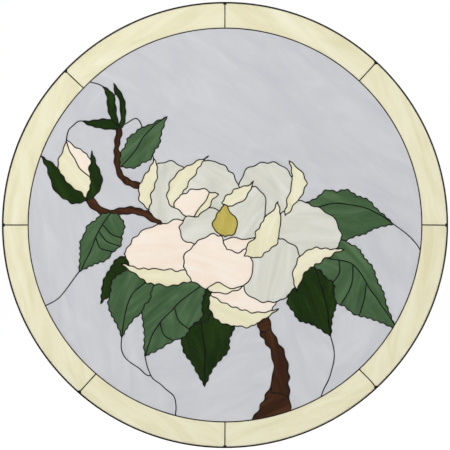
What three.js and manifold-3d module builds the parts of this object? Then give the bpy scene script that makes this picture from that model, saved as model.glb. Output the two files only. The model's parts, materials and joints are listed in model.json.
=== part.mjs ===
// A round stained glass window: cut glass panes in a net of solder seams, inside a round edge came.
// Millimetres. The panel is drawn flat, x to the right and y up from its centre, and is then stood
// upright so that its front looks along -Y. The origin is on the back of the edge came, at the bottom.

import * as THREE from 'three';
import * as BufferGeometryUtils from 'three/addons/utils/BufferGeometryUtils.js';
import Module from 'manifold-3d';

const wasm = await Module();
wasm.setup();

// ---- driving sizes ----------------------------------------------------------------------------

const PANEL_RADIUS = 457.2;      // 36 in across
const RING_STEPS = 48;           // flats around every circle of the panel
const GLASS_THICKNESS = 3;
const SEAM_WIDTH = 2.6;
const SEAM_DEPTH = 5;
const FIT_GAP = 0.3;             // left between pieces that touch

const CAME_FACE = 3.4;           // width of the came's front and back faces
const CAME_DEPTH = 6;
const CAME_WALL = 1.2;           // thickness of its outer wall
const CAME_MIDDLE_RADIUS = PANEL_RADIUS - CAME_FACE / 2;
const CAME_INNER_RADIUS = PANEL_RADIUS - CAME_FACE;

const BORDER_RADIUS = 404;       // the ring seam between border and picture
const BORDER_JOINTS = [0, 47, 90, 136, 180, 229, 270, 313];     // degrees from +x

const CUT_DEPTH = 20;            // cutting prisms reach well past both faces

// ---- colours ----------------------------------------------------------------------------------

const COLOURS = {
  cream: 0xe8e4c4,
  grey_white: 0xd8d7cb,
  blush: 0xf5e8d8,
  pale_blue: 0xc9cbd0,
  mid_green: 0x466440,
  dark_green: 0x1e3408,
  bark_brown: 0x422619,
  ochre: 0xbfb053,
  solder: 0x3c3c3c,
  came: 0x4a4a4a,
};

// ---- outlines ---------------------------------------------------------------------------------

function point(pair) {
  return new THREE.Vector2(pair[0], pair[1]);
}

// A gently bowed line from base to tip. A positive bow bends it to the left of its direction.
function bowedLine(base, tip, bow) {
  const start = point(base);
  const end = point(tip);
  const side = new THREE.Vector2(start.y - end.y, end.x - start.x).normalize();
  const control = start.clone().add(end).multiplyScalar(0.5).addScaledVector(side, 2 * bow);
  return new THREE.QuadraticBezierCurve(start, control, end);
}

function leftOf(tangent) {
  return new THREE.Vector2(-tangent.y, tangent.x);
}

// How far a rim point keeps to its full reach: every second one is set back, unevenly.
function rippled(step, ripple) {
  return step % 2 === 0 ? 1 - ripple * (0.75 + 0.25 * Math.sin(3 * step)) : 1;
}

// A leaf, sepal or turned petal edge: pointed at both ends, reaching `left` and `right` of its
// middle line, and fullest at the fraction `fullest` of its length. Its middle line sways to the
// left and then to the right by `sway`.
function blade({ base, tip, left, right, bow = 0, sway = 0, fullest = 0.42, ripple = 0.18, steps = 8 }) {
  const middle = bowedLine(base, tip, bow);
  const exponent = Math.log(0.5) / Math.log(fullest);
  const edge = (step, reach) => {
    const t = step / steps;
    const pointedness = THREE.MathUtils.lerp(0.65, 1.35, t);
    const swell = Math.sin(Math.PI * t ** exponent) ** pointedness * rippled(step, ripple);
    const aside = reach * swell + sway * Math.sin(2 * Math.PI * t);
    return middle.getPoint(t).addScaledVector(leftOf(middle.getTangent(t)), aside);
  };
  const outline = [point(base)];
  for (let step = 1; step < steps; step += 1) {
    outline.push(edge(step, -right));
  }
  outline.push(point(tip));
  for (let step = steps - 1; step > 0; step -= 1) {
    outline.push(edge(step, left));
  }
  return outline;
}

// A broad petal: an oval `length` by `width` with its long axis turned by `turn` degrees.
function petal({ centre, length, width, turn = 0, ripple = 0.05, steps = 11 }) {
  const outline = [];
  for (let step = 0; step < steps; step += 1) {
    const angle = 2 * Math.PI * step / steps;
    const swell = rippled(step, ripple);
    const spot = new THREE.Vector2(
      swell * length / 2 * Math.cos(angle),
      swell * width / 2 * Math.sin(angle));
    outline.push(spot.rotateAround(new THREE.Vector2(), THREE.MathUtils.degToRad(turn)).add(point(centre)));
  }
  return outline;
}

// A branch: a ribbon along a smooth line, its width running through the given widths.
function branch({ through, widths, steps = 6 }) {
  const middle = new THREE.SplineCurve(through.map(point));
  const rightSide = [];
  const leftSide = [];
  for (let step = 0; step <= steps; step += 1) {
    const t = step / steps;
    const along = t * (widths.length - 1);
    const before = Math.min(Math.floor(along), widths.length - 2);
    const width = THREE.MathUtils.lerp(widths[before], widths[before + 1], along - before);
    const out = leftOf(middle.getTangent(t)).multiplyScalar(width / 2);
    rightSide.push(middle.getPoint(t).sub(out));
    leftSide.unshift(middle.getPoint(t).add(out));
  }
  return [...rightSide, ...leftSide];
}

function circle(radius) {
  const outline = [];
  for (let step = 0; step < RING_STEPS; step += 1) {
    const angle = 2 * Math.PI * step / RING_STEPS;
    outline.push(new THREE.Vector2(radius * Math.cos(angle), radius * Math.sin(angle)));
  }
  return outline;
}

// The same outline moved outwards by `distance`, or inwards where it is negative.
function offset(outline, distance) {
  const turn = THREE.ShapeUtils.area(outline) > 0 ? 1 : -1;
  const count = outline.length;
  const longest = 4;             // a corner's reach, in distances
  return outline.map((corner, index) => {
    const before = corner.clone().sub(outline[(index + count - 1) % count]).normalize();
    const after = outline[(index + 1) % count].clone().sub(corner).normalize();
    const bisector = leftOf(before).add(leftOf(after)).normalize();
    const reach = Math.min(1 / Math.max(bisector.dot(leftOf(after)), 0.01), longest);
    return corner.clone().addScaledVector(bisector, -turn * distance * reach);
  });
}

// A line of the given width through the points, closed into an outline with square ends.
function strip(line, width) {
  return branch({ through: line, widths: [width, width], steps: 2 * (line.length - 1) });
}

function onCircle(radius, degrees) {
  const angle = THREE.MathUtils.degToRad(degrees);
  return [radius * Math.cos(angle), radius * Math.sin(angle)];
}

// ---- solids -----------------------------------------------------------------------------------

function toSolid(geometry) {
  const bare = geometry.clone();
  bare.deleteAttribute('normal');
  bare.deleteAttribute('uv');
  const merged = BufferGeometryUtils.mergeVertices(bare, 1e-4);
  return new wasm.Manifold(new wasm.Mesh({
    numProp: 3,
    vertProperties: new Float32Array(merged.attributes.position.array),
    triVerts: new Uint32Array(merged.index.array),
  }));
}

function toGeometry(solid) {
  const mesh = solid.getMesh();
  const geometry = new THREE.BufferGeometry();
  geometry.setAttribute('position', new THREE.BufferAttribute(mesh.vertProperties, 3));
  geometry.setIndex(new THREE.BufferAttribute(mesh.triVerts, 1));
  geometry.computeVertexNormals();
  return geometry;
}

// A flat plate of the outline, centred on the glass plane.
function plate(outline, thickness) {
  const geometry = new THREE.ExtrudeGeometry(new THREE.Shape(outline), {
    depth: thickness,
    bevelEnabled: false,
  });
  geometry.translate(0, 0, -thickness / 2);
  return toSolid(geometry);
}

function join(solids) {
  return solids.reduce((whole, solid) => whole.add(solid));
}

// ---- the picture: a blossom with leaves, a bud and a branch, listed from front to back ---------

const BLOSSOM = [
  { name: 'seed_cone', colour: 'ochre',
    outline: blade({
      base: [3, -25], tip: [-1, 48], left: 26, right: 25, fullest: 0.32, ripple: 0, steps: 7,
    }) },
  { name: 'curl_above_cone', colour: 'cream',
    outline: blade({ base: [-8, 46], tip: [58, 90], left: 15, right: 13, bow: -7, steps: 7 }) },
  { name: 'curl_right_of_cone', colour: 'cream',
    outline: blade({
      base: [40, -64], tip: [106, 48], left: 27, right: 22, bow: -22, sway: -3, fullest: 0.45, steps: 7,
    }) },
  { name: 'petal_inner_right', colour: 'grey_white',
    outline: petal({ centre: [39, 12], length: 142, width: 86, turn: 72, ripple: 0.03 }) },
  { name: 'petal_inner_upper_left', colour: 'blush',
    outline: blade({ base: [-104, 36], tip: [-14, 64], left: 22, right: 36, bow: 2, steps: 7 }) },
  { name: 'petal_lower_middle', colour: 'blush',
    outline: petal({ centre: [-14, -81], length: 148, width: 118, turn: -8 }) },
  { name: 'petal_inner_lower_left', colour: 'grey_white',
    outline: petal({ centre: [-44, -2], length: 106, width: 72, turn: 16 }) },
  { name: 'curl_lower_left', colour: 'cream',
    outline: blade({ base: [-50, -104], tip: [-214, -78], left: 14, right: 20, bow: 18, ripple: 0.2 }) },
  { name: 'petal_lower_left', colour: 'blush',
    outline: petal({ centre: [-116, -48], length: 184, width: 110, turn: 18 }) },
  { name: 'curl_upper_left', colour: 'cream',
    outline: blade({
      base: [-106, 32], tip: [-38, 141], left: 16, right: 16, bow: 16, sway: 3, ripple: 0.2,
    }) },
  { name: 'petal_upper_left', colour: 'grey_white',
    outline: petal({ centre: [-31, 80], length: 122, width: 104, turn: -30 }) },
  { name: 'curl_far_left', colour: 'cream',
    outline: blade({
      base: [-158, 30], tip: [-146, 142], left: 19, right: 13, bow: 2, sway: 6, ripple: 0.15, steps: 7,
    }) },
  { name: 'petal_far_left', colour: 'grey_white',
    outline: petal({ centre: [-110, 62], length: 146, width: 118, turn: 120 }) },
  { name: 'curl_far_right', colour: 'cream',
    outline: blade({
      base: [120, 18], tip: [132, 130], left: 14, right: 20, bow: -18, sway: 5, fullest: 0.58, ripple: 0.15,
    }) },
  { name: 'petal_upper_right', colour: 'grey_white',
    outline: petal({ centre: [82, 68], length: 130, width: 116, turn: 40 }) },
  { name: 'curl_lower_right', colour: 'cream',
    outline: blade({
      base: [148, -134], tip: [244, -50], left: 14, right: 20, bow: 34, sway: 4, fullest: 0.5, ripple: 0.15,
    }) },
  { name: 'petal_low_right', colour: 'grey_white',
    outline: petal({ centre: [94, -91], length: 140, width: 126, turn: 60 }) },
  { name: 'petal_right', colour: 'grey_white',
    outline: petal({ centre: [152, -14], length: 180, width: 128, turn: -14 }) },
  { name: 'curl_bottom', colour: 'cream',
    outline: blade({ base: [-34, -142], tip: [110, -172], left: 6, right: 34, bow: -22 }) },
  { name: 'petal_bottom', colour: 'blush',
    outline: petal({ centre: [38, -144], length: 142, width: 92, turn: -12 }) },
];

const LEAVES = [
  { name: 'leaf_upper_left', colour: 'mid_green',
    outline: blade({ base: [-213, 122], tip: [-120, 222], left: 28, right: 36 }) },
  { name: 'leaf_far_left', colour: 'mid_green',
    outline: blade({ base: [-220, 26], tip: [-300, -98], left: 44, right: 38 }) },
  { name: 'leaf_lower_left', colour: 'mid_green',
    outline: blade({ base: [-150, -86], tip: [-212, -232], left: 36, right: 50, bow: -14 }) },
  { name: 'leaf_dark_left', colour: 'dark_green',
    outline: blade({ base: [-140, -84], tip: [-254, -160], left: 20, right: 40, bow: -16, steps: 7 }) },
  { name: 'leaf_lower_middle', colour: 'mid_green',
    outline: blade({ base: [-66, -92], tip: [-163, -271], left: 64, right: 62 }) },
  { name: 'leaf_dark_bottom', colour: 'dark_green',
    outline: blade({ base: [-48, -92], tip: [-42, -331], left: 66, right: 58, fullest: 0.46, steps: 10 }) },
  { name: 'leaf_right', colour: 'mid_green',
    outline: blade({ base: [150, 10], tip: [347, 2], left: 60, right: 46, bow: 8, steps: 10 }) },
  { name: 'leaf_dark_right', colour: 'dark_green',
    outline: blade({ base: [158, -84], tip: [217, -229], left: 46, right: 58 }) },
  { name: 'leaf_lower_right', colour: 'mid_green',
    outline: blade({ base: [194, -10], tip: [350, -214], left: 42, right: 72, steps: 10 }) },
];

const BUD = [
  { name: 'bud_sepal_right', colour: 'dark_green',
    outline: blade({
      base: [-284, 50], tip: [-272, 153], left: 12, right: 15, bow: -12, sway: -4, ripple: 0.15,
    }) },
  { name: 'bud_sepal_left', colour: 'dark_green',
    outline: blade({
      base: [-284, 50], tip: [-380, 146], left: 18, right: 14, bow: 10, sway: 6, fullest: 0.36, ripple: 0.2,
    }) },
  { name: 'bud', colour: 'cream',
    outline: blade({
      base: [-284, 56], tip: [-327, 175], left: 38, right: 38, fullest: 0.5, ripple: 0.1, steps: 7,
    }) },
];

const TWIG_SEPALS = [
  { name: 'twig_sepal_right', colour: 'dark_green',
    outline: blade({
      base: [-212, 196], tip: [-231, 291], left: 10, right: 11, bow: -6, fullest: 0.5, ripple: 0.1, steps: 6,
    }) },
  { name: 'twig_sepal_middle', colour: 'dark_green',
    outline: blade({
      base: [-214, 198], tip: [-256, 289], left: 10, right: 9, bow: -3, sway: 4, fullest: 0.45,
      ripple: 0.1, steps: 6,
    }) },
  { name: 'twig_sepal_left', colour: 'dark_green',
    outline: blade({
      base: [-208, 199], tip: [-297, 215], left: 11, right: 10, sway: -2, ripple: 0.1, steps: 6,
    }) },
];

const BRANCHES = [
  { name: 'trunk', colour: 'bark_brown',
    outline: branch({
      through: [[66, -150], [78, -200], [98, -246], [114, -284], [113, -326], [106, -368], [92, -420]],
      widths: [26, 24, 20, 30, 36, 58, 92],
      steps: 9,
    }) },
  { name: 'twig_upper', colour: 'bark_brown',
    outline: branch({
      through: [[-218, 206], [-221, 138], [-208, 98], [-160, 72]],
      widths: [11, 9, 13],
    }) },
  { name: 'twig_lower', colour: 'bark_brown',
    outline: branch({
      through: [[-284, 62], [-250, 28], [-190, 30], [-110, 0]],
      widths: [16, 13, 17],
    }) },
];

const PICTURE = [...BLOSSOM, ...BUD, ...LEAVES, ...TWIG_SEPALS, ...BRANCHES];

// Seams that divide the background, each from a tip of the picture to the ring or another piece.
const BACKGROUND_SEAMS = [
  [[-300, 296], [-256, 288]],
  [[-297, 215], [-322, 196], [-326, 174]],
  [[-212, 202], [-178, 217], [-168, 198]],
  [[-146, 162], [-144, 130]],
  [[345, 2], [378, -20], [398, -50], [408, -82]],
  [[-300, -98], [-318, -122], [-338, -148], [-376, -170]],
  [[-212, -230], [-204, -272], [-150, -307]],
  [[-163, -268], [-150, -307], [-104, -350], [-103, -400]],
  [[217, -228], [222, -280], [190, -366]],
];

// A point inside each background pane, by name.
const BACKGROUND_PANES = {
  background_top: [100, 280],
  background_upper_left: [-340, 200],
  background_by_bud: [-250, 140],
  background_by_twig: [-194, 198],
  background_under_leaf: [-180, 110],
  background_left: [-350, 20],
  background_lower_left: [-290, -220],
  background_between_leaves: [-190, -260],
  background_bottom: [0, -360],
  background_by_trunk: [150, -280],
  background_lower_right: [260, -260],
  background_right: [370, -110],
};

// ---- cutting the panes ------------------------------------------------------------------------

// The piece of a cut-up solid that holds the point, or its largest piece where none is given.
function pieceOf(solid, place) {
  const pieces = solid.decompose();
  if (place === undefined) {
    return pieces.reduce((largest, piece) => (piece.volume() > largest.volume() ? piece : largest));
  }
  const probe = plate(petal({ centre: place, length: 2, width: 2, steps: 6 }), 1);
  return pieces.find((piece) => !piece.intersect(probe).isEmpty());
}

// All panes, each cut from a plate of the given thickness and kept back from the middle line of
// the seams around it. Every piece of the picture is cut by the pieces in front of it, and the
// background by them all. The border runs out to `outerRadius`.
function cutPanes(keepBack, thickness, outerRadius) {
  const disc = plate(circle(BORDER_RADIUS - keepBack), CUT_DEPTH);
  const panes = [];
  const shadows = [];
  for (const { name, colour, outline } of PICTURE) {
    const cut = shadows.reduce(
      (left, shadow) => left.subtract(shadow),
      plate(offset(outline, -keepBack), thickness).intersect(disc));
    panes.push({ name, colour, solid: pieceOf(cut) });
    shadows.push(plate(offset(outline, keepBack), CUT_DEPTH));
  }

  const seams = BACKGROUND_SEAMS.map((line) => plate(strip(line, 2 * keepBack), CUT_DEPTH));
  const background = plate(circle(BORDER_RADIUS - keepBack), thickness)
    .subtract(join(shadows))
    .subtract(join(seams));
  for (const [name, place] of Object.entries(BACKGROUND_PANES)) {
    panes.push({ name, colour: 'pale_blue', solid: pieceOf(background, place) });
  }

  const joints = BORDER_JOINTS.map((degrees) => plate(strip(
    [onCircle(BORDER_RADIUS - SEAM_WIDTH, degrees), onCircle(PANEL_RADIUS, degrees)],
    2 * keepBack), CUT_DEPTH));
  const border = plate(circle(outerRadius), thickness)
    .subtract(plate(circle(BORDER_RADIUS + keepBack), CUT_DEPTH))
    .subtract(join(joints));
  BORDER_JOINTS.forEach((degrees, index) => {
    const next = index + 1 < BORDER_JOINTS.length ? BORDER_JOINTS[index + 1] : 360;
    const place = onCircle((BORDER_RADIUS + outerRadius) / 2, (degrees + next) / 2);
    panes.push({ name: `border_pane_${index + 1}`, colour: 'cream', solid: pieceOf(border, place) });
  });
  return panes;
}

// ---- the pieces of the window -----------------------------------------------------------------

function seamNet() {
  const openings = cutPanes(SEAM_WIDTH / 2, CUT_DEPTH, PANEL_RADIUS);
  return openings.reduce(
    (net, opening) => net.subtract(opening.solid),
    plate(circle(CAME_INNER_RADIUS - FIT_GAP), SEAM_DEPTH));
}

// A ring of U-section that holds the outer edge of the border panes.
function edgeCame() {
  const channelRadius = PANEL_RADIUS - CAME_WALL;
  const channelSide = GLASS_THICKNESS / 2 + FIT_GAP;
  const side = CAME_DEPTH / 2;
  const profile = [
    [CAME_INNER_RADIUS, side],
    [CAME_INNER_RADIUS, channelSide],
    [channelRadius, channelSide],
    [channelRadius, -channelSide],
    [CAME_INNER_RADIUS, -channelSide],
    [CAME_INNER_RADIUS, -side],
    [PANEL_RADIUS, -side],
    [PANEL_RADIUS, side],
    [CAME_INNER_RADIUS, side],
  ];
  const ring = new THREE.LatheGeometry(profile.map(point), RING_STEPS);
  ring.rotateX(Math.PI / 2);
  return toSolid(ring);
}

// ---- the window -------------------------------------------------------------------------------

function addPiece(group, name, colour, solid) {
  const material = new THREE.MeshStandardMaterial({
    color: COLOURS[colour],
    roughness: 0.3,
    metalness: colour === 'solder' || colour === 'came' ? 1 : 0,
  });
  const mesh = new THREE.Mesh(toGeometry(solid), material);
  mesh.name = name;
  group.add(mesh);
}

const panel = new THREE.Group();
addPiece(panel, 'seam_net', 'solder', seamNet());
addPiece(panel, 'edge_came', 'came', edgeCame());
const glassEdge = PANEL_RADIUS - CAME_WALL - FIT_GAP;
for (const { name, colour, solid } of cutPanes(SEAM_WIDTH / 2 + FIT_GAP, GLASS_THICKNESS, glassEdge)) {
  addPiece(panel, name, colour, solid);
}
panel.rotation.x = Math.PI / 2;
panel.position.set(0, -CAME_DEPTH / 2, CAME_MIDDLE_RADIUS);

const stainedGlassWindow = new THREE.Group();
stainedGlassWindow.add(panel);

export default stainedGlassWindow;
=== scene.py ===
import json
import math
from collections import Counter

import bmesh
import bpy
import numpy as np
from mathutils import Matrix, Vector, geometry, noise


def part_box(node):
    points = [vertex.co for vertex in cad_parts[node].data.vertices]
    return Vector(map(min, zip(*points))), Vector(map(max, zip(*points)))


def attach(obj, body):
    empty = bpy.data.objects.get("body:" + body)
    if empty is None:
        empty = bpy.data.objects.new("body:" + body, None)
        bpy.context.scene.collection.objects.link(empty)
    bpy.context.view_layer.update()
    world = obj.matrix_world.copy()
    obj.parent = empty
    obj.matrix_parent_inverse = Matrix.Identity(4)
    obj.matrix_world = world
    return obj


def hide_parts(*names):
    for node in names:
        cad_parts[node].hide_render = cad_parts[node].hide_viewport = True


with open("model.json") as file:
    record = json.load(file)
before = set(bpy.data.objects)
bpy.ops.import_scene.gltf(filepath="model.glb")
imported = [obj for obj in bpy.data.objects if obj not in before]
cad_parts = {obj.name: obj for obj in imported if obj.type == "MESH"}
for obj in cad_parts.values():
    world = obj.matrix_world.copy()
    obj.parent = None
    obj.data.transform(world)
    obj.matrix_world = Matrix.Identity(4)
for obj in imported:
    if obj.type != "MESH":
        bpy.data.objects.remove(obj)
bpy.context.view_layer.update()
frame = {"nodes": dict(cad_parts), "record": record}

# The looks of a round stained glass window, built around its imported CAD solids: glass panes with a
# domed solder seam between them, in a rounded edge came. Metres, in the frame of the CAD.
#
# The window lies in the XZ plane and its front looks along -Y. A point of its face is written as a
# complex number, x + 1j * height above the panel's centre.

MM = 0.001

# ---- sizes from the frame ----

NET_NODE = "seam_net"
CAME_NODE = "edge_came"
PANES = sorted(name for name in frame["nodes"] if name not in (NET_NODE, CAME_NODE))
BORDER = [name for name in PANES if name.startswith("border_pane")]

came_low, came_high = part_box(CAME_NODE)
glass_low, glass_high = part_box(BORDER[0])
net_low, net_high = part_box(NET_NODE)
CENTRE_Y = (came_low.y + came_high.y) / 2
CENTRE_Z = (came_low.z + came_high.z) / 2
WINDOW_MIDDLE = Vector((0, CENTRE_Y, CENTRE_Z))
PANEL_RADIUS = (came_high.z - came_low.z) / 2
NET_RADIUS = (net_high.z - net_low.z) / 2
CAME_HALF_DEPTH = (came_high.y - came_low.y) / 2
GLASS_HALF_DEPTH = (glass_high.y - glass_low.y) / 2
BEAD_HEIGHT = (net_high.y - net_low.y) / 2 - GLASS_HALF_DEPTH

# ---- the seams' middle lines, found between the CAD's panes ----

FACE_DEPTH = 0.1 * MM        # a point this close to a pane's front is on its front face
AXIS_STEP = 3 * MM           # between points of the panes' outlines
RIM_POINTS = 900             # on the circle round the panel
POINT_TOLERANCE = 1e-4       # in millimetres, when the space between the panes is cut up
MERGE_LENGTH = 4 * MM        # junctions closer than this are one

# ---- their shape ----

LINE_TOLERANCE = 0.7 * MM    # how far a seam's corner points may leave its found line
LINE_STEP = 4 * MM           # between points of a finished seam line
WAVY_STEP = 2.2 * MM         # and of one with a wavy edge
FINE_STEP = 0.5 * MM         # between the points that are chosen from
SEAM_POINTS = 4              # the shortest seam has this many of those
SHAPING_ROUNDS = 3           # the lines end on each other, so they are shaped more than once
CUT_REACH = 9 * MM           # a junction moves at most this far along a line
END_CLEAR = 6.5 * MM         # a found line is uncertain this close to its ends
LOOK_AHEAD = 6 * MM          # how far along a line its direction is taken
TIP_WIDTH = 7 * MM           # a narrower end is drawn out to a point
TIP_TURN = math.radians(110)     # where the line turns more than this round it
TIP_TAPER = math.radians(20)     # half the angle of the sharpest point
SHARP_TURN = math.radians(50)    # a corner that turns more than this stays sharp
NO_SHARP_TURN = math.pi          # a line of the background has no sharp corners
THROUGH_TURN = math.radians(38)  # a line goes on through a junction up to this turn

# How the edges of the glass wave: wavelength and size. The first kind of pane beside a seam sets it.
EDGE_WAVES = [
    ("curl", 26 * MM, 3.0 * MM),
    ("petal", 31 * MM, 3.4 * MM),
    ("bud_sepal", 23 * MM, 2.2 * MM),
    ("twig_sepal", 21 * MM, 1.6 * MM),
    ("bud", 25 * MM, 1.8 * MM),
    ("leaf", 15 * MM, 2.4 * MM),
    ("trunk", 31 * MM, 3.4 * MM),
    ("twig", 24 * MM, 1.9 * MM),
]
WAVE_EASE = 8 * MM           # at its ends a wavy line is still, and its waves grow over this length
WAVE_DRIFT = 60 * MM         # along the line they shift, over about this length
WAVE_SHIFT = 5.0             # by this much of a turn, in radians

# How the whole picture is pulled about by hand: wavelength and size.
PULLS = [(60 * MM, 7 * MM), (28 * MM, 3 * MM)]
STILL_BAND = 14 * MM         # the ring and what lies this close to it hold still
SIDEWAYS_LAYER = Vector((0, 0, 0.5))     # where the noise is read for each direction
UPWARDS_LAYER = Vector((0, 0, 9.5))

# ---- lines moved sideways ----

CORNER_SPREAD = 0.5          # a corner moves at most the distance divided by this
CLEAR_SHARE = 0.94           # a moved point keeps this share of the distance to the line, or is bad
MEETING_REACH = 8 * MM       # the sides of a bad stretch run on at most this far to where they meet
MEETING_SHARE = 0.8          # and keep this share of the distance there
PARALLEL_SINE = 0.05         # sides with a smaller angle between them don't meet
TINY = 1e-9

# ---- solder, glass and came ----

BEAD_HALF_WIDTH = 1.15 * MM
BEAD_UNEVENNESS = 0.09       # share of its width and height that a hand-run bead varies by
BEAD_WAVE = 14 * MM          # over about this length
BEAD_LAYER = 7.5             # where the noise is read for it
BEAD_ROWS = [(0.6, 0.8)]     # from ridge to edge: share of the width, share of the height
JUNCTION_LUMP = 0.14         # share of its height that the bead rises by where seams meet
JUNCTION_REACH = 2.4 * MM
TACK_SIZE = (3.8 * MM, 2.6 * MM, 1.0 * MM)       # half a lens of solder: along the came, across, high
TACK_SIDES = 20
TACK_ROWS = 10
LAP_LIFT = 0.03 * MM         # the bead's edge over the face of the glass
FOIL_INSET = 0.4 * MM        # the solder between two glass edges reaches this far
GLASS_INSET = 0.5 * MM       # glass edge to the seam's middle
GLASS_GAP = 0.05 * MM        # points of a glass edge closer than this are one
WELD_GAP = 0.002 * MM        # and points of the solder closer than this
SHORTEST_EDGE = 0.001 * MM

CAME_WALL = 1.2 * MM         # its outer wall
CAME_CHANNEL = 0.3 * MM      # room on each side of the glass
CAME_CORNER = 1.3 * MM
CAME_FALL = 0.3 * MM         # how much lower the lips lie than the outer edge
CAME_TURNS = 288             # steps round the ring
ARC_STEPS = 6
FIT_GAP = 0.3 * MM           # between net and came
SOLDER_SMOOTH_ANGLE = math.radians(60)
CAME_SMOOTH_ANGLE = math.radians(35)

SHEET_TILT = math.radians(20)        # the panes are cut from their sheets at odd angles
SHEET_SIZE = 3.0

# ---- materials: colours as on a screen ----

# Deep, main and pale, how drawn out the streaks are, how deep the surface ripples, and how much light
# passes unscattered.
GLASS = {
    "cream_glass": ((225, 219, 182), (233, 228, 196), (239, 235, 210), 5, 0.25 * MM, 0.12),
    "grey_white_glass": ((203, 204, 193), (216, 216, 205), (226, 226, 218), 4, 0.25 * MM, 0.12),
    "blush_glass": ((242, 223, 206), (245, 232, 217), (248, 239, 229), 4, 0.25 * MM, 0.12),
    "pale_blue_glass": ((203, 205, 211), (210, 211, 215), (217, 218, 221), 3, 0.3 * MM, 0.25),
    "mid_green_glass": ((56, 84, 53), (69, 98, 64), (86, 115, 79), 6, 0.35 * MM, 0.12),
    "dark_green_glass": ((16, 38, 2), (24, 48, 3), (36, 62, 11), 6, 0.35 * MM, 0.12),
    "brown_glass": ((46, 23, 8), (61, 33, 14), (82, 49, 27), 7, 0.35 * MM, 0.12),
    "ochre_glass": ((174, 157, 68), (188, 172, 84), (201, 187, 106), 5, 0.35 * MM, 0.12),
}
GLASS_STOPS = (0.28, 0.5, 0.72)      # the noise's values for deep, main and pale
GLASS_ROUGHNESS = (0.07, 0.2)
SEED_DEPTH = 0.04 * MM       # fine grains of the surface

METALS = {                   # dark, rubbed, and the roughness of both
    "solder": ((26, 26, 25), (54, 53, 51), (0.34, 0.54)),
    "came": ((34, 34, 33), (62, 61, 59), (0.42, 0.62)),
}
METAL_STOPS = (0.35, 0.75)
LUMP_DEPTH = 0.15 * MM
GRAIN_DEPTH = 0.02 * MM
NOISE_SPREAD = (0.3, 0.7)    # most of a noise's values lie in here

# ---- the studio ----

CAMERA_LENS = 150
SENSOR_WIDTH = 36
CAMERA_REACH = 100
FRAME_WIDTH = 0.9216         # what the square frame takes in at the window
FLOOR_Z = -0.35
FLOOR_REACH = 30
FLOOR_COLOUR = (248, 248, 248)
FLOOR_GLOW = 0.5             # the light that the floor gives off itself
ROOM_SEEN = 1.0              # brightness of the white room, as seen
ROOM_BACK = 0.85             # as it lights the window from behind
ROOM_FRONT = 0.15            # and from in front
ROOM_FADE = 0.5              # it changes where the direction's Y is within this of 0
LIGHTS = {                   # place, size and power
    "key": ((-1.8, -2.8, 2.7), 0.9, 83),
    "fill": ((2.6, -2.0, 1.2), 1.6, 16),
}


# ---- the panes' outlines, read from the CAD ----

def front_outline(node):
    """The outline of a pane's front face, anticlockwise as seen from the front."""
    mesh = frame["nodes"][node].data
    front = min(vertex.co.y for vertex in mesh.vertices)
    places = {}
    for vertex in mesh.vertices:
        if vertex.co.y < front + FACE_DEPTH:
            places[vertex.index] = (round(vertex.co.x, 6), round(vertex.co.z - CENTRE_Z, 6))
    edges = set()
    for polygon in mesh.polygons:
        corners = [places.get(index) for index in polygon.vertices]
        if None not in corners:
            edges.update(zip(corners, corners[1:] + corners[:1]))
    following = {a: b for a, b in edges if (b, a) not in edges and a != b}
    start = min(following)
    loop = [start]
    while following[loop[-1]] != start:
        loop.append(following[loop[-1]])
    return np.array([x + 1j * z for x, z in loop])


def densified(loop, step):
    """The same loop with further points, so that no two neighbours lie more than a step apart."""
    points = []
    for a, b in zip(loop, np.roll(loop, -1)):
        count = max(1, math.ceil(abs(b - a) / step))
        points.extend(a + (b - a) * k / count for k in range(count))
    return points


# ---- the graph of the seams' middle lines ----

def gap_triangles(outlines):
    """The space between the panes, cut into triangles: their corners' numbers, the place of each
    corner, and the panes whose outlines it is on."""
    loops = {name: densified(outline, AXIS_STEP) for name, outline in outlines.items()}
    loops["outside"] = [PANEL_RADIUS * np.exp(2j * math.pi * k / RIM_POINTS) for k in range(RIM_POINTS)]
    points, owners, faces = [], [], []
    for name, loop in loops.items():
        first = len(points)
        points.extend(loop)
        owners.extend([name] * len(loop))
        faces.append(list(range(first, len(points))))
    outside = len(faces) - 1
    flat = [Vector((place.real / MM, place.imag / MM)) for place in points]
    found, _, triangles, sources, _, covers = geometry.delaunay_2d_cdt(
        flat, [], faces, 0, POINT_TOLERANCE, True)
    places = [(point.x + 1j * point.y) * MM for point in found]
    beside = [{owners[index] for index in source} for source in sources]
    gap = [tuple(corners) for corners, cover in zip(triangles, covers) if set(cover) == {outside}]
    return gap, places, beside


def drop_dead_ends(links):
    """Takes the lines that end in nothing out of the graph."""
    ends = [spot for spot, near in links.items() if len(near) == 1]
    while ends:
        spot = ends.pop()
        for near in links.pop(spot):
            links[near].discard(spot)
            if len(links[near]) == 1:
                ends.append(near)


def seam_graph(outlines):
    """Where the seams' middles run: {spot: neighbouring spots}, {spot: place}, {spot: panes beside it}.

    The middles of the triangle edges that cross the space between the panes make the line. A triangle
    with three such edges is a junction."""
    triangles, places, beside = gap_triangles(outlines)
    sides = {}
    for triangle in triangles:
        a, b, c = triangle
        for pair in (frozenset((a, b)), frozenset((b, c)), frozenset((c, a))):
            sides.setdefault(pair, []).append(triangle)
    crossings = {}
    for pair, around in sides.items():
        if len(around) == 2:
            for triangle in around:
                crossings.setdefault(triangle, []).append(pair)

    links, spots, panes = {}, {}, {}

    def link(a, b):
        links.setdefault(a, set()).add(b)
        links.setdefault(b, set()).add(a)

    for triangle, pairs in crossings.items():
        for pair in pairs:
            a, b = pair
            spots[pair] = (places[a] + places[b]) / 2
            panes[pair] = beside[a] | beside[b]
        if len(pairs) == 2:
            link(*pairs)
        elif len(pairs) == 3:
            spots[triangle] = sum(places[index] for index in triangle) / 3
            panes[triangle] = set()
            for pair in pairs:
                link(triangle, pair)
    drop_dead_ends(links)
    return links, spots, panes


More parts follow.
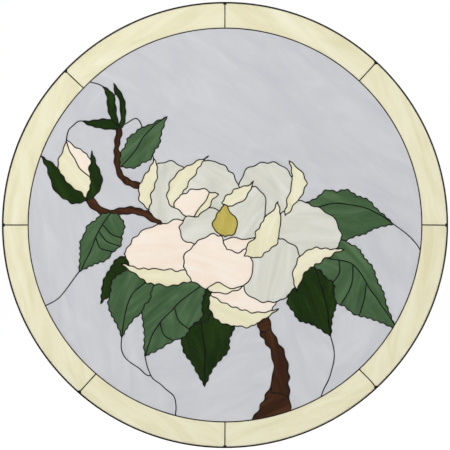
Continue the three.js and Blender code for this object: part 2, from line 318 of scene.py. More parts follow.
def walk_chains(links):
    """The graph's lines from junction to junction, each a list of spots."""
    chains, begun = [], set()
    for junction in [spot for spot in links if len(links[spot]) > 2]:
        for first in links[junction]:
            if (junction, first) in begun:
                continue
            chain = [junction, first]
            while len(links[chain[-1]]) == 2:
                before, after = links[chain[-1]]
                chain.append(after if before == chain[-2] else before)
            begun.add((chain[-1], chain[-2]))
            chains.append(chain)
    return chains


def length(line):
    return float(np.abs(np.diff(line)).sum())


def distances_along(line):
    return np.concatenate([[0], np.cumsum(np.abs(np.diff(line)))])


class Seam:
    """One seam line between two junctions."""

    def __init__(self, line, start, end, beside):
        self.line = line
        self.breaks = []             # which of its points are sharp corners
        self.junctions = [start, end]
        self.kind = kind_of(beside)
        self.wave = wave_of(beside) if self.kind == "plain" else None

    def heading(self, side, reach=LOOK_AHEAD):
        """The direction in which the seam leaves one of its junctions."""
        line = self.line if side == 0 else self.line[::-1]
        away = np.abs(line - line[0]) >= reach
        ahead = line[np.argmax(away)] if away.any() else line[-1]
        return (ahead - line[0]) / abs(ahead - line[0])


def kind_of(beside):
    """A seam is "rim" at the came, "ring" at the border's inside, or "plain", by what lies beside it."""
    if "outside" in beside:
        return "rim"
    if any(name in BORDER for name in beside) and any(name not in BORDER for name in beside):
        return "ring"
    return "plain"


def wave_of(beside):
    """The wavelength and size of a seam's waves, by what lies beside it."""
    for start, wavelength, size in EDGE_WAVES:
        if any(name.startswith(start) for name in beside):
            return wavelength, size
    return None


def read_seams(outlines):
    """All seams as found in the CAD, with junctions that lie close together made one."""
    links, spots, panes = seam_graph(outlines)
    chains = walk_chains(links)
    merged = {chain[0]: chain[0] for chain in chains} | {chain[-1]: chain[-1] for chain in chains}

    def root(junction):
        while merged[junction] != junction:
            junction = merged[junction]
        return junction

    kept = []
    for chain in chains:
        line = np.array([spots[spot] for spot in chain])
        if length(line) < MERGE_LENGTH:
            merged[root(chain[0])] = root(chain[-1])
        else:
            kept.append((chain, line))
    members = {}
    for junction in merged:
        members.setdefault(root(junction), []).append(spots[junction])
    numbers = {junction: number for number, junction in enumerate(members)}
    places = [sum(group) / len(group) for group in members.values()]
    seams = []
    for chain, line in kept:
        start, end = numbers[root(chain[0])], numbers[root(chain[-1])]
        line[0], line[-1] = places[start], places[end]
        middle = panes[chain[len(chain) // 2]] or panes[chain[len(chain) // 2 + 1]]
        seams.append(Seam(line, start, end, middle))
    return seams, places


# ---- smooth lines ----

def corner_points(line, tolerance):
    """The few points that keep a line's shape to within the tolerance."""
    kept = {0, len(line) - 1}
    open_spans = [(0, len(line) - 1)]
    while open_spans:
        first, last = open_spans.pop()
        if last - first < 2:
            continue
        chord = line[last] - line[first]
        between = line[first + 1:last] - line[first]
        if abs(chord) < TINY:
            away = np.abs(between)
        else:
            away = np.abs((between / chord).imag) * abs(chord)
        far = int(np.argmax(away))
        if away[far] > tolerance:
            kept.add(first + 1 + far)
            open_spans += [(first, first + 1 + far), (first + 1 + far, last)]
    return line[sorted(kept)]


def smooth_curve(corners, sharp_turn=SHARP_TURN):
    """A smooth line through the corner points, and which of its points are sharp corners."""
    spans = np.abs(np.diff(corners))
    directions = np.diff(corners) / spans
    count = len(corners)
    leaving, arriving = list(directions), list(directions)
    sharp = []
    for k in range(1, count - 1):
        if abs(np.angle(directions[k] / directions[k - 1])) > sharp_turn:
            sharp.append(k)
            continue
        tangent = directions[k - 1] * spans[k] + directions[k] * spans[k - 1]
        tangent /= spans[k] + spans[k - 1]
        arriving[k - 1] = tangent
        leaving[k] = tangent
    points, sharp_points = [], []
    for k in range(count - 1):
        if k in sharp:
            sharp_points.append(len(points))
        steps = max(2, math.ceil(spans[k] / FINE_STEP))
        t = np.arange(steps) / steps
        points.extend(
            (1 + 2 * t) * (1 - t) ** 2 * corners[k]
            + t * (1 - t) ** 2 * spans[k] * leaving[k]
            + t * t * (3 - 2 * t) * corners[k + 1]
            - t * t * (1 - t) * spans[k] * arriving[k])
    points.append(corners[-1])
    return np.array(points), sharp_points


def evenly(line, step):
    """The line again, with its points evenly spaced and its ends kept."""
    along = distances_along(line)
    count = max(1, round(along[-1] / step))
    at = np.linspace(0, along[-1], count + 1)
    fresh = np.interp(at, along, line.real) + 1j * np.interp(at, along, line.imag)
    fresh[0], fresh[-1] = line[0], line[-1]
    return fresh


def without_ends(line):
    """The line without the uncertain stretches next to its ends."""
    near = np.minimum(np.abs(line - line[0]), np.abs(line - line[-1])) < END_CLEAR
    near[[0, -1]] = False
    return line if length(line) < 3 * END_CLEAR else line[~near]


def pointed(corners):
    """The corner points, with each narrow, squared-off end drawn out to one point."""
    corners = list(corners)
    for k in range(len(corners) - 4, -1, -1):
        a, b, c, d = corners[k:k + 4]
        first, second = np.angle((c - b) / (b - a)), np.angle((d - c) / (c - b))
        turn = abs(first + second)
        if abs(c - b) < TIP_WIDTH and first * second > 0 and turn > TIP_TURN:
            taper = max((math.pi - turn) / 2, TIP_TAPER)
            outwards = (b - a) / abs(b - a) + (c - d) / abs(c - d)
            reach = abs(c - b) / 2 / math.tan(taper)
            corners[k + 1:k + 3] = [(b + c) / 2 + reach * outwards / abs(outwards)]
    return np.array(corners)


def wavy(line, wavelength, size):
    """The line with the waves of an edge that is cut by hand."""
    along = distances_along(line)
    start = line[0] / MM
    drift = np.array([noise.noise(Vector((start.real, start.imag, s / WAVE_DRIFT))) for s in along])
    ease = np.clip(np.minimum(along, along[-1] - along) / WAVE_EASE, 0, 1)
    sideways = 1j * np.gradient(line)
    swing = np.sin(2 * math.pi * along / wavelength + WAVE_SHIFT * drift)
    return line + sideways / np.abs(sideways) * swing * ease * size / 2


# ---- strokes: seams that run on smoothly through their junctions ----

def seam_ends(seams):
    """The two ends of every seam, each as (number of the seam, side)."""
    return [(number, side) for number in range(len(seams)) for side in (0, 1)]


def ends_by_junction(seams):
    at = {}
    for number, side in seam_ends(seams):
        at.setdefault(seams[number].junctions[side], []).append((number, side))
    return at


def pair_seams(seams):
    """For each end of a seam, the seam end on which it runs on, if any: {(seam, side): (seam, side)}."""
    partner = {}
    for ends in ends_by_junction(seams).values():
        options = []
        for i, one in enumerate(ends):
            for other in ends[i + 1:]:
                a, b = seams[one[0]], seams[other[0]]
                turn = abs(np.angle(-a.heading(one[1]) / b.heading(other[1])))
                if a.kind == b.kind != "plain":
                    options.append((-1, one, other))
                elif a.kind == b.kind and bool(a.wave) == bool(b.wave) and turn < THROUGH_TURN:
                    options.append((turn, one, other))
        for _, one, other in sorted(options):
            if one not in partner and other not in partner:
                partner[one], partner[other] = other, one
    return partner


def make_strokes(seams):
    """Runs of seams, each a list of (seam, side that it is entered by)."""
    partner = pair_seams(seams)
    used = set()
    strokes = []
    ends = seam_ends(seams)
    free = [end for end in ends if end not in partner]
    for start in free + ends:
        if start[0] in used:
            continue
        stroke = []
        end = start
        while end is not None and end[0] not in used:
            used.add(end[0])
            stroke.append(end)
            end = partner.get((end[0], 1 - end[1]))
        strokes.append(stroke)
    return strokes


def cut_at(curve, share, place, before):
    """The point of a curve nearest to a place, looked for about this share of its length."""
    along = distances_along(curve)
    in_reach = np.abs(along - share * along[-1]) <= CUT_REACH
    away = np.abs(curve - place) + np.where(in_reach, 0, PANEL_RADIUS)
    first, last = before + SEAM_POINTS, len(curve) - SEAM_POINTS
    return first + int(np.argmin(away[first:last]))


def stroke_pieces(stroke, seams):
    """The found lines of a stroke's seams, each without its first point after the first, and the
    junctions along the stroke."""
    first, side = stroke[0]
    junctions = [seams[first].junctions[side]]
    pieces = []
    for number, side in stroke:
        line = seams[number].line if side == 0 else seams[number].line[::-1]
        pieces.append(line if not pieces else line[1:])
        junctions.append(seams[number].junctions[1 - side])
    return pieces, junctions


def stroke_curve(run, kind, has_waves, ring_radius):
    """The finished curve of a stroke, and which of its points are sharp corners."""
    if kind == "plain":
        corners = corner_points(without_ends(run), LINE_TOLERANCE)
        if has_waves:
            return smooth_curve(pointed(corners))
        return smooth_curve(corners, NO_SHARP_TURN)
    radius = ring_radius if kind == "ring" else NET_RADIUS
    curve = evenly(run, FINE_STEP)
    return curve / np.abs(curve) * radius, []


def finish_seam(seam, side, curve, sharp):
    """Gives a seam its part of a stroke's curve, evenly spaced from sharp corner to sharp corner."""
    ends = [0, *sharp, len(curve) - 1]
    step = LINE_STEP if seam.wave is None else WAVY_STEP
    parts = [evenly(curve[a:b + 1], step) for a, b in zip(ends, ends[1:])]
    seam.finished = np.concatenate([parts[0]] + [part[1:] for part in parts[1:]])
    seam.breaks = list(np.cumsum([len(part) - 1 for part in parts[:-1]], dtype=int))
    if side == 1:
        seam.breaks = [len(seam.finished) - 1 - k for k in reversed(seam.breaks)]
        seam.finished = seam.finished[::-1]


def shape_stroke(stroke, seams, places, ring_radius):
    """Gives the seams of a stroke their finished lines, and moves the junctions along it onto them."""
    kind = seams[stroke[0][0]].kind
    pieces, junctions = stroke_pieces(stroke, seams)
    run = np.concatenate(pieces)
    run[0], run[-1] = places[junctions[0]], places[junctions[-1]]
    has_waves = any(seams[number].wave for number, _ in stroke)
    curve, sharp = stroke_curve(run, kind, has_waves, ring_radius)
    lengths = [length(piece) for piece in pieces]
    shares = np.cumsum(lengths)[:-1] / sum(lengths)
    cuts = [0]
    for share, junction in zip(shares, junctions[1:-1]):
        cuts.append(cut_at(curve, share, places[junction], cuts[-1]))
    cuts.append(len(curve) - 1)
    for (number, side), first, last in zip(stroke, cuts, cuts[1:]):
        inner = [k - first for k in sharp if first < k < last]
        finish_seam(seams[number], side, curve[first:last + 1], inner)
    for junction, cut in zip(junctions[1:-1], cuts[1:-1]):
        places[junction] = curve[cut]
    if kind != "plain":
        places[junctions[0]], places[junctions[-1]] = curve[0], curve[-1]


def smooth_seams(seams, places, ring_radius):
    """Gives every seam its finished line. A line starts where the lines before it now run."""
    strokes = make_strokes(seams)
    for _ in range(SHAPING_ROUNDS):
        for stroke in strokes:
            shape_stroke(stroke, seams, places, ring_radius)
    for seam in seams:
        seam.line = seam.finished
        seam.line[0], seam.line[-1] = (places[junction] for junction in seam.junctions)


def wave_edges(seams):
    """Gives the edges of leaves, petals and bark their waves, from sharp corner to sharp corner."""
    for seam in seams:
        if seam.wave is not None:
            ends = [0, *seam.breaks, len(seam.line) - 1]
            for first, last in zip(ends, ends[1:]):
                seam.line[first:last + 1] = wavy(seam.line[first:last + 1], *seam.wave)


# ---- panes: the faces of the graph ----

def area(loop):
    return float((np.conj(loop) * np.roll(loop, -1)).imag.sum() / 2)


def holds(loop, place):
    """True if the place lies inside the loop."""
    a, b = loop - place, np.roll(loop, -1) - place
    return abs(np.angle(b / a).sum()) > math.pi


def trace_faces(seams, headings):
    """Every face of the graph, as a loop with its seams' kinds, anticlockwise."""
    leaving = ends_by_junction(seams)
    for ends in leaving.values():
        ends.sort(key=lambda end: np.angle(headings[end]))
    faces, used = [], set()
    for start in seam_ends(seams):
        if start in used:
            continue
        parts, kinds = [], []
        end = start
        while end not in used:
            used.add(end)
            seam = seams[end[0]]
            line = seam.line if end[1] == 0 else seam.line[::-1]
            parts.append(line[:-1])
            kinds.extend([seam.kind] * (len(line) - 1))
            back = (end[0], 1 - end[1])
            around = leaving[seam.junctions[back[1]]]
            end = around[around.index(back) - 1]
        loop = np.concatenate(parts)
        if area(loop) > 0:
            faces.append((loop, kinds))
    return faces


# ---- seams inside the panes: veins, folds and cuts that the CAD leaves out ----

# Each line is given by points in shares of the pane's box, and its ends are drawn to the outline
# or to the line before it.
INNER_SEAMS = {
    "leaf_upper_left": [[(0.0, 0.0), (0.35, 0.38), (0.6, 0.72), (1.0, 1.0)]],
    "leaf_far_left": [
        [(0.72, 1.0), (0.42, 0.7), (0.28, 0.4), (0.02, 0.0)],
        [(0.5, 0.8), (0.68, 0.66), (0.98, 0.57)],
        [(0.42, 0.69), (0.6, 0.52), (0.94, 0.42)],
        [(0.35, 0.56), (0.48, 0.39), (0.8, 0.28)],
    ],
    "leaf_lower_left": [[(0.85, 0.85), (0.52, 0.65), (0.36, 0.35), (0.28, 0.0)]],
    "leaf_lower_middle": [
        [(0.92, 0.95), (0.46, 0.62), (0.18, 0.3), (0.07, 0.0)],
        [(0.52, 0.66), (0.62, 0.46), (0.8, 0.34)],
        [(0.28, 0.43), (0.34, 0.28), (0.5, 0.18)],
    ],
    "leaf_dark_bottom": [
        [(0.32, 0.62), (0.5, 0.68), (0.62, 0.82)],
        [(0.4, 0.64), (0.46, 0.3), (0.46, 0.0)],
    ],
    "leaf_right": [[(0.12, 0.6), (0.35, 0.74), (0.66, 0.66), (1.0, 0.32)]],
    "leaf_dark_right": [[(0.56, 1.0), (0.72, 0.68), (0.82, 0.38), (0.88, 0.0)]],
    "leaf_lower_right": [
        [(0.14, 0.84), (0.46, 0.72), (0.72, 0.42), (0.99, 0.03)],
        [(0.3, 0.8), (0.3, 0.62), (0.18, 0.48)],
        [(0.48, 0.7), (0.45, 0.45), (0.3, 0.2)],
        [(0.66, 0.5), (0.62, 0.28), (0.52, 0.1)],
    ],
    "bud": [[(0.2, 1.0), (0.32, 0.84), (0.52, 0.7), (0.66, 0.54), (0.86, 0.42), (0.98, 0.36)]],
    "petal_lower_middle": [
        [(0.3, 0.04), (0.4, 0.11), (0.5, 0.16), (0.6, 0.1), (0.7, 0.06), (0.82, 0.1), (0.9, 0.11)],
    ],
    "petal_inner_upper_left": [[(0.79, 0.95), (0.72, 0.6), (0.6, 0.35), (0.45, 0.0)]],
    "petal_inner_right": [[(0.02, 0.16), (0.25, 0.22), (0.5, 0.18), (0.76, 0.22)]],
    "twig_sepal_right": [
        [(0.03, 0.88), (0.2, 0.76), (0.46, 0.65), (0.55, 0.53), (0.57, 0.4), (0.65, 0.29), (0.68, 0.18),
         (0.51, 0.05)],
    ],
    "trunk": [
        [(0.23, 0.86), (0.36, 0.865), (0.51, 0.9)],
        [(0.5, 0.33), (0.53, 0.26), (0.72, 0.262), (1.0, 0.22)],
    ],
}

# The glass of a part that such a line cuts off: a point inside it, and its slot.
OTHER_GLASS = {
    "bud": ((0.7, 0.7), "blush_glass"),
    "petal_lower_middle": ((0.5, 0.08), "cream_glass"),
    "petal_inner_upper_left": ((0.82, 0.62), "cream_glass"),
    "petal_inner_right": ((0.45, 0.1), "blush_glass"),
    "twig_sepal_right": ((0.38, 0.5), "pale_blue_glass"),
}


class Pane:
    """One piece of glass: the seam line round it, and what kind of seam runs from each point."""

    def __init__(self, node, loop, kinds, glass):
        self.node = node
        self.loop = loop
        self.kinds = kinds
        self.glass = glass

    def split(self, waypoints):
        """The two panes on both sides of a line. Its ends move to the nearest points of the loop."""
        start, end = (int(np.argmin(np.abs(self.loop - place))) for place in (waypoints[0], waypoints[-1]))
        corners = np.array([self.loop[start], *waypoints[1:-1], self.loop[end]])
        inner = evenly(smooth_curve(corners)[0], LINE_STEP)[1:-1]
        count = len(self.loop)
        halves = []
        for first, last, back in ((start, end, inner[::-1]), (end, start, inner)):
            kept = [(first + k) % count for k in range((last - first) % count + 1)]
            kinds = [self.kinds[k] for k in kept[:-1]] + ["plain"] * (len(back) + 1)
            halves.append(Pane(self.node, np.concatenate([self.loop[kept], back]), kinds, self.glass))
        return halves


def from_shares(node, share):
    """A place given in shares of a node's box."""
    low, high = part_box(node)
    return low.x + share[0] * (high.x - low.x) + 1j * (low.z + share[1] * (high.z - low.z) - CENTRE_Z)


def cut_pane(pane):
    """The panes that the inner seams cut a pane into."""
    pieces = [pane]
    for line in INNER_SEAMS.get(pane.node, []):
        waypoints = [from_shares(pane.node, share) for share in line]
        middle = waypoints[len(waypoints) // 2]
        cut = next(piece for piece in pieces if holds(piece.loop, middle))
        pieces.remove(cut)
        pieces += cut.split(waypoints)
    if pane.node in OTHER_GLASS:
        share, glass = OTHER_GLASS[pane.node]
        place = from_shares(pane.node, share)
        next(piece for piece in pieces if holds(piece.loop, place)).glass = glass
    return pieces


# ---- the hand-cut look ----

def hand_cut(places, ring_radius):
    """The places moved a little, each by where it is, so that panes still meet."""
    moved = np.array(places)
    for k, place in enumerate(places):
        ease = min(max((ring_radius - abs(place)) / STILL_BAND, 0), 1)
        for wavelength, size in PULLS:
            spot = Vector((place.real / wavelength, place.imag / wavelength, 0))
            pull = noise.noise(spot + SIDEWAYS_LAYER) + 1j * noise.noise(spot + UPWARDS_LAYER)
            moved[k] += ease * size / 2 * pull
    return moved


# ---- insets ----

def distance_to(line, places):
    """How far each place lies from a line."""
    a, b = line[:-1], line[1:]
    edge = b - a
    away = places[:, None] - a[None, :]
    share = np.clip((away * np.conj(edge)).real / np.abs(edge) ** 2, 0, 1)
    return np.abs(away - share * edge).min(axis=1)


def inset(line, distance, closed):
    """The line moved to its left, point for point. Where a tip is too narrow, points share a place."""
    forward = np.diff(np.append(line, line[0])) if closed else np.diff(line)
    forward = forward / np.abs(forward)
    after = forward if closed else np.append(forward, forward[-1])
    before = np.roll(forward, 1) if closed else np.insert(forward, 0, forward[0])
    bisector = before + after
    bisector = 1j * bisector / np.abs(bisector)
    reach = 1 / np.maximum((bisector * np.conj(1j * after)).real, CORNER_SPREAD)
    moved = line + bisector * reach * distance
    whole = np.append(line, line[0]) if closed else line
    good = distance_to(whole, moved) > CLEAR_SHARE * distance
    if good.all():
        return moved
    count = len(line)
    k = int(np.argmax(good))
    past = k + count
    while k < past:
        if good[k % count]:
            k += 1
            continue
        run_end = k
        while not good[run_end % count]:
            run_end += 1
        p, q = moved[(k - 1) % count], moved[run_end % count]
        along_p, along_q = before[(k - 1) % count], after[run_end % count]
        cross = (np.conj(along_p) * along_q).imag
        shared = (p + q) / 2
        if abs(cross) > PARALLEL_SINE:
            s = (np.conj(q - p) * along_q).imag / cross
            meeting = p + s * along_p
            clear = distance_to(whole, np.array([meeting]))[0] > MEETING_SHARE * distance.min()
            if 0 <= s < MEETING_REACH and clear:
                shared = meeting
        for index in range(k, run_end):
            moved[index % count] = shared
        k = run_end
    return moved


# ---- meshes ----

def to_space(place, depth):
    """A point of the face at a depth measured from the middle of the glass, front negative."""
    return (place.real, CENTRE_Y + depth, CENTRE_Z + place.imag)


def mesh_of(name, bm, materials):
    mesh = bpy.data.meshes.new(name)
    bm.to_mesh(mesh)
    bm.free()
    for material in materials:
        mesh.materials.append(material)
    return mesh


def add_object(name, data):
    thing = bpy.data.objects.new(name, data)
    bpy.context.scene.collection.objects.link(thing)
    return thing


def make_piece(name, bm, material, smooth_angle=None):
    """A piece of the window, which rides on it."""
    mesh = mesh_of(name, bm, [material])
    if smooth_angle is not None:
        mesh.shade_smooth()
        mesh.set_sharp_from_angle(angle=smooth_angle)
    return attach(add_object(name, mesh), "root")


def bead_path(pane):
    """The part of a pane's loop that has solder along it, and whether it is closed."""
    if "rim" not in pane.kinds:
        return pane.loop, True
    count = len(pane.loop)
    start = next(k for k in range(count) if pane.kinds[k - 1] == "rim" and pane.kinds[k] != "rim")
    indices = [start]
    while pane.kinds[indices[-1] % count] != "rim":
        indices.append(indices[-1] + 1)
    return pane.loop[[k % count for k in indices]], False


def bead_wave(place):
    return noise.noise(Vector((place.real / BEAD_WAVE, place.imag / BEAD_WAVE, BEAD_LAYER)))


def add_tack(bm, place, side):
    """A lens of solder that ties a border seam to the came, on the front (side -1) or the back."""
    along, across, high = TACK_SIZE
    outwards = place / abs(place)
    spot = to_space(place, side * (CAME_HALF_DEPTH - high - LAP_LIFT))
    turn = Matrix.Rotation(-np.angle(outwards), 4, "Y")
    shape = Matrix.Translation(spot) @ turn @ Matrix.Diagonal((across, high, along, 1))
    bmesh.ops.create_uvsphere(bm, u_segments=TACK_SIDES, v_segments=TACK_ROWS, radius=1, matrix=shape)


def bead_section(ridge, edge, foil, height):
    """Points across half a seam: from its ridge in front, round the glass edge, to its ridge behind."""
    front = [(ridge, height)]
    front += [(ridge + share * (edge - ridge), up * height) for share, up in BEAD_ROWS]
    front += [(edge, LAP_LIFT), (foil, LAP_LIFT)]
    section = [to_space(place, -GLASS_HALF_DEPTH - up) for place, up in front]
    return section + [to_space(place, GLASS_HALF_DEPTH + up) for place, up in reversed(front)]


def solder_net(panes, junctions, tacked):
    """The whole net of solder as one closed body: a domed bead in front and behind, and the foil and
    solder between the glass edges. Lenses of solder tie it to the came at the tacked places."""
    bm = bmesh.new()
    for place in tacked:
        add_tack(bm, place, -1)
        add_tack(bm, place, 1)
    for pane in panes:
        line, closed = bead_path(pane)
        wave = np.array([bead_wave(place) for place in line])
        near = np.abs(line[:, None] - junctions[None, :]).min(axis=1)
        lump = JUNCTION_LUMP * np.exp(-(near / JUNCTION_REACH) ** 2)
        height = BEAD_HEIGHT * (1 + BEAD_UNEVENNESS * wave + lump)
        edge = inset(line, BEAD_HALF_WIDTH * (1 + BEAD_UNEVENNESS * wave), closed)
        foil = inset(line, np.full(len(line), FOIL_INSET), closed)
        sections = [[bm.verts.new(point) for point in bead_section(*points)]
                    for points in zip(line, edge, foil, height)]
        following = sections[1:] + sections[:1] if closed else sections[1:]
        for here, there in zip(sections, following):
            for row in range(len(here) - 1):
                bm.faces.new((here[row], there[row], there[row + 1], here[row + 1]))
    bmesh.ops.remove_doubles(bm, verts=bm.verts, dist=WELD_GAP)
    bmesh.ops.dissolve_degenerate(bm, dist=SHORTEST_EDGE, edges=bm.edges)
    open_edges = [edge for edge in bm.edges if edge.is_boundary]
    bmesh.ops.holes_fill(bm, edges=open_edges, sides=0)
    return bm


def glass_outline(pane, cad_outline):
    """The edge of the cut glass. In the border it runs on into the came's channel."""
    line, closed = bead_path(pane)
    edge = inset(line, np.full(len(line), GLASS_INSET), closed)
    if not closed:
        outer = max(abs(place) for place in cad_outline)
        turn = np.angle(edge[0] / edge[-1])
        count = round(abs(turn) * outer / LINE_STEP)
        steps = np.arange(count + 1) / count
        edge = np.concatenate([edge, outer * np.exp(1j * (np.angle(edge[-1]) + turn * steps))])
    return edge[np.abs(edge - np.roll(edge, 1)) > GLASS_GAP]


def add_prism(bm, outline, half_depth):
    """A flat plate of the outline."""
    front = [bm.verts.new(to_space(place, -half_depth)) for place in outline]
    back = [bm.verts.new(to_space(place, half_depth)) for place in outline]
    bm.faces.new(front)
    bm.faces.new(back[::-1])
    for k in range(len(outline)):
        bm.faces.new((front[k - 1], back[k - 1], back[k], front[k]))
    return front + back


def pane_of(loop, outlines):
    """The CAD pane that a face of the graph belongs to: the one with the most of its outline inside."""
    def share_inside(name):
        return sum(holds(loop, place) for place in outlines[name]) / len(outlines[name])
    return max(PANES, key=share_inside)


def find_junctions(panes):
    """The places where three or more panes meet."""
    seen = Counter(place for pane in panes for place in pane.loop)
    return np.array([place for place, times in seen.items() if times > 2])


def seed_of(place):
    """A pane's seed for random numbers, from its distance in mm and its direction in 1/100 radian."""
    direction = round(np.angle(place) * 100 + 400)       # never below 0
    return round(abs(place) / MM) + 1000 * direction


def glass_pieces(panes, cad_outline):
    """The glass of some panes in one mesh, with where each point lay on the sheet it was cut from."""
    bm = bmesh.new()
    sheet = bm.verts.layers.float_vector.new("sheet")
    for pane in panes:
        outline = glass_outline(pane, cad_outline)
        centre = outline.mean()
        lie = np.angle(((outline - centre) ** 2).sum()) / 2
        chance = np.random.default_rng(seed_of(centre))
        tilt = lie + chance.uniform(-SHEET_TILT, SHEET_TILT)
        start = chance.uniform(-SHEET_SIZE, SHEET_SIZE, 3)
        for vert in add_prism(bm, outline, GLASS_HALF_DEPTH):
            place = (vert.co.x + 1j * (vert.co.z - CENTRE_Z) - centre) * np.exp(-1j * tilt)
            vert[sheet] = (start[0] + place.real, start[1] + place.imag, start[2] + vert.co.y)
    return bm


# ---- the came ----

def arc(centre_r, centre_y, radius, start, end):
    """Points of a profile on an arc, angles in degrees, 0 outwards and 90 to the back."""
    angles = np.radians(np.linspace(start, end, ARC_STEPS + 1))
    return [(centre_r + radius * math.cos(a), centre_y + radius * math.sin(a)) for a in angles]


def came_ring():
    """A ring of U-section with rounded corners, open towards the glass."""
    side = GLASS_HALF_DEPTH + CAME_CHANNEL
    lip_top = CAME_HALF_DEPTH - CAME_FALL
    nose = (lip_top - side) / 2
    inner = NET_RADIUS + FIT_GAP + nose
    channel = PANEL_RADIUS - CAME_WALL
    corner_r, corner_y = PANEL_RADIUS - CAME_CORNER, CAME_HALF_DEPTH - CAME_CORNER
    profile = [
        *arc(inner, -side - nose, nose, -90, -270),
        (channel, -side),
        (channel, side),
        *arc(inner, side + nose, nose, -90, -270),
        *arc(corner_r, corner_y, CAME_CORNER, 90, 0),
        *arc(corner_r, -corner_y, CAME_CORNER, 0, -90),
    ]
    bm = bmesh.new()
    rings = []
    for turn in range(CAME_TURNS):
        direction = np.exp(2j * math.pi * turn / CAME_TURNS)
        rings.append([bm.verts.new(to_space(r * direction, y)) for r, y in profile])
    for turn in range(CAME_TURNS):
        here, there = rings[turn - 1], rings[turn]
        for row in range(len(profile)):
            bm.faces.new((here[row - 1], there[row - 1], there[row], here[row]))
    bmesh.ops.recalc_face_normals(bm, faces=bm.faces)
    return bm


# ---- materials ----

def srgb(red, green, blue):
    """A colour given as on a screen, 0 to 255, as the shader's linear colour."""
    def linear(value):
        value /= 255
        return value / 12.92 if value <= 0.04045 else ((value + 0.055) / 1.055) ** 2.4
    return (linear(red), linear(green), linear(blue), 1)


class Nodes:
    """Short ways to add and link the nodes of a material or a world."""

    def __init__(self, owner, shader):
        self.owner = owner
        owner.use_nodes = True
        self.tree = owner.node_tree
        self.shader = self.tree.nodes[shader]

    def give(self, node, name, value):
        """Sets an input of a node, or links it to the output that is given as its value."""
        socket = node.inputs[name.replace("_", " ")]
        if isinstance(value, bpy.types.NodeSocket):
            self.tree.links.new(value, socket)
        else:
            socket.default_value = value

    def set(self, **values):
        for name, value in values.items():
            self.give(self.shader, name, value)

    def add(self, kind, output, **values):
        """An output of a new node with these properties and inputs."""
        node = self.tree.nodes.new("ShaderNode" + kind)
        for name, value in values.items():
            if hasattr(node, name):
                setattr(node, name, value)
            else:
                self.give(node, name, value)
        return node.outputs[output]

    def noise(self, place, scale, detail, roughness=0.55, distortion=0.0):
        return self.add("TexNoise", "Fac", Vector=place, Scale=scale, Detail=detail, Roughness=roughness,
                        Distortion=distortion)

    def stretched(self, place, scale):
        return self.add("Mapping", "Vector", Vector=place, Scale=scale)

    def ramp(self, value, stops, colours):
        output = self.add("ValToRGB", "Color", Fac=value)
        elements = output.node.color_ramp.elements
        while len(elements) < len(stops):
            elements.new(0.5)
        for element, position, colour in zip(elements, stops, colours):
            element.position = position
            element.color = srgb(*colour)
        return output

    def span(self, value, before, after):
        return self.add("MapRange", "Result", Value=value, From_Min=before[0], From_Max=before[1],
                        To_Min=after[0], To_Max=after[1])

    def bump(self, height, **values):
        return self.add("Bump", "Normal", Height=height, **values)


def material_nodes(name):
    return Nodes(bpy.data.materials.new(name), "Principled BSDF")


def glass_material(slot, deep, main, pale, streak, ripple, through):
    """Streaked sheet glass with a rolled surface."""
    nodes = material_nodes(slot)
    sheet = nodes.add("Attribute", "Vector", attribute_name="sheet")
    streaks = nodes.noise(nodes.stretched(sheet, (1, streak, 1)), scale=9, detail=5, distortion=0.8)
    clouds = nodes.noise(sheet, scale=30, detail=3)
    rolled = nodes.stretched(sheet, (1, 1.6, 1))
    waves = nodes.noise(rolled, scale=38, detail=2, roughness=0.5, distortion=0.4)
    ripples = nodes.bump(waves, Strength=1.0, Distance=ripple)
    seeds = nodes.noise(sheet, scale=260, detail=2)
    nodes.set(
        Base_Color=nodes.ramp(streaks, GLASS_STOPS, (deep, main, pale)),
        Roughness=nodes.span(clouds, NOISE_SPREAD, GLASS_ROUGHNESS),
        Normal=nodes.bump(seeds, Strength=0.3, Distance=SEED_DEPTH, Normal=ripples),
        Transmission_Weight=through,
        IOR=1.5)
    return nodes.owner


def metal_material(name, dark, rubbed, roughness):
    """Blackened metal, with paler rubbed spots and a fine uneven surface."""
    nodes = material_nodes(name)
    place = nodes.add("TexCoord", "Object")
    patches = nodes.noise(place, scale=45, detail=4, roughness=0.6)
    lumps = nodes.bump(nodes.noise(place, scale=160, detail=2), Strength=0.5, Distance=LUMP_DEPTH)
    grain = nodes.noise(place, scale=2200, detail=2)
    nodes.set(
        Base_Color=nodes.ramp(patches, METAL_STOPS, (dark, rubbed)),
        Roughness=nodes.span(patches, NOISE_SPREAD, roughness),
        Normal=nodes.bump(grain, Strength=0.3, Distance=GRAIN_DEPTH, Normal=lumps),
        Metallic=0.85,
        IOR=1.5)
    return nodes.owner


# ---- the studio ----

def floor_plane():
    """A pale floor under the hanging window. The glass mirrors the room, and not the glowing floor."""
    bm = bmesh.new()
    corners = [(-1, -1), (1, -1), (1, 1), (-1, 1)]
    bm.faces.new([bm.verts.new((x * FLOOR_REACH, y * FLOOR_REACH, FLOOR_Z)) for x, y in corners])
    nodes = material_nodes("floor")
    nodes.set(Base_Color=srgb(*FLOOR_COLOUR), Roughness=0.8, Specular_IOR_Level=0.2)
    nodes.set(Emission_Color=(1, 1, 1, 1), Emission_Strength=FLOOR_GLOW)
    floor = add_object("floor", mesh_of("floor", bm, [nodes.owner]))
    floor.visible_glossy = False


def area_light(name, place, size, power):
    """A soft square light that faces the middle of the window."""
    light = bpy.data.lights.new(name, "AREA")
    light.size = size
    light.energy = power
    thing = add_object(name, light)
    thing.location = place
    thing.rotation_euler = (WINDOW_MIDDLE - thing.location).to_track_quat("-Z", "Y").to_euler()


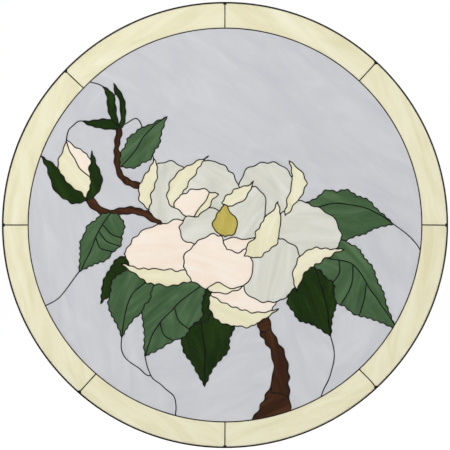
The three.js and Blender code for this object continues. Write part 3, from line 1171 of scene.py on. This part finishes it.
def pale_world():
    """A white room that lights the window more from behind than from in front."""
    world = bpy.data.worlds.new("studio")
    nodes = Nodes(world, "Background")
    direction = nodes.add("TexCoord", "Generated")
    backwards = nodes.add("SeparateXYZ", "Y", Vector=direction)
    light = nodes.span(backwards, (-ROOM_FADE, ROOM_FADE), (ROOM_FRONT, ROOM_BACK))
    seen = nodes.add("LightPath", "Is Camera Ray")
    brightness = nodes.add("Mix", "Result", Factor=seen, A=light, B=ROOM_SEEN)
    nodes.set(Color=(1, 1, 1, 1), Strength=brightness)
    bpy.context.scene.world = world


def head_on_camera():
    """A long lens on the window's axis, with the window filling the square frame."""
    camera = bpy.data.cameras.new("camera")
    camera.lens = CAMERA_LENS
    camera.sensor_width = SENSOR_WIDTH
    camera.clip_end = CAMERA_REACH
    thing = add_object("camera", camera)
    distance = FRAME_WIDTH * CAMERA_LENS / SENSOR_WIDTH
    thing.location = (0, came_low.y - distance, CENTRE_Z)
    thing.rotation_euler = (math.pi / 2, 0, 0)
    bpy.context.scene.camera = thing


# ---- building ----

outlines = {name: front_outline(name) for name in PANES}
seams, places = read_seams(outlines)
headings = {(number, side): seams[number].heading(side) for number, side in seam_ends(seams)}
ring_points = np.concatenate([seam.line for seam in seams if seam.kind == "ring"])
ring_radius = float(np.median(np.abs(ring_points)))
smooth_seams(seams, places, ring_radius)
wave_edges(seams)

slots = {part["node"]: part["material_slot"] for part in frame["record"]["subparts"]}
panes = []
for loop, kinds in trace_faces(seams, headings):
    node = pane_of(loop, outlines)
    panes += cut_pane(Pane(node, loop, kinds, slots[node]))
for pane in panes:
    pane.loop = hand_cut(pane.loop, ring_radius)

tacked = [place for place in places if abs(abs(place) - NET_RADIUS) < MM]
solder = solder_net(panes, find_junctions(panes), tacked)
net = make_piece("solder_net", solder, metal_material("solder", *METALS["solder"]), SOLDER_SMOOTH_ANGLE)
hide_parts(NET_NODE)

came = make_piece("came_ring", came_ring(), metal_material("came", *METALS["came"]), CAME_SMOOTH_ANGLE)
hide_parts(CAME_NODE)

glass_materials = {slot: glass_material(slot, *look) for slot, look in GLASS.items()}
for node in PANES:
    own = [pane for pane in panes if pane.node == node]
    for glass in sorted({pane.glass for pane in own}):
        alike = [pane for pane in own if pane.glass == glass]
        is_main = glass == slots[node]
        name = f"{node}.glass" if is_main else f"{node}.{glass}"
        piece = make_piece(name, glass_pieces(alike, outlines[node]), glass_materials[glass])
        if is_main:
            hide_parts(node)

floor_plane()
pale_world()
head_on_camera()
for name, look in LIGHTS.items():
    area_light(name, *look)
bpy.context.scene.view_settings.view_transform = "Standard"
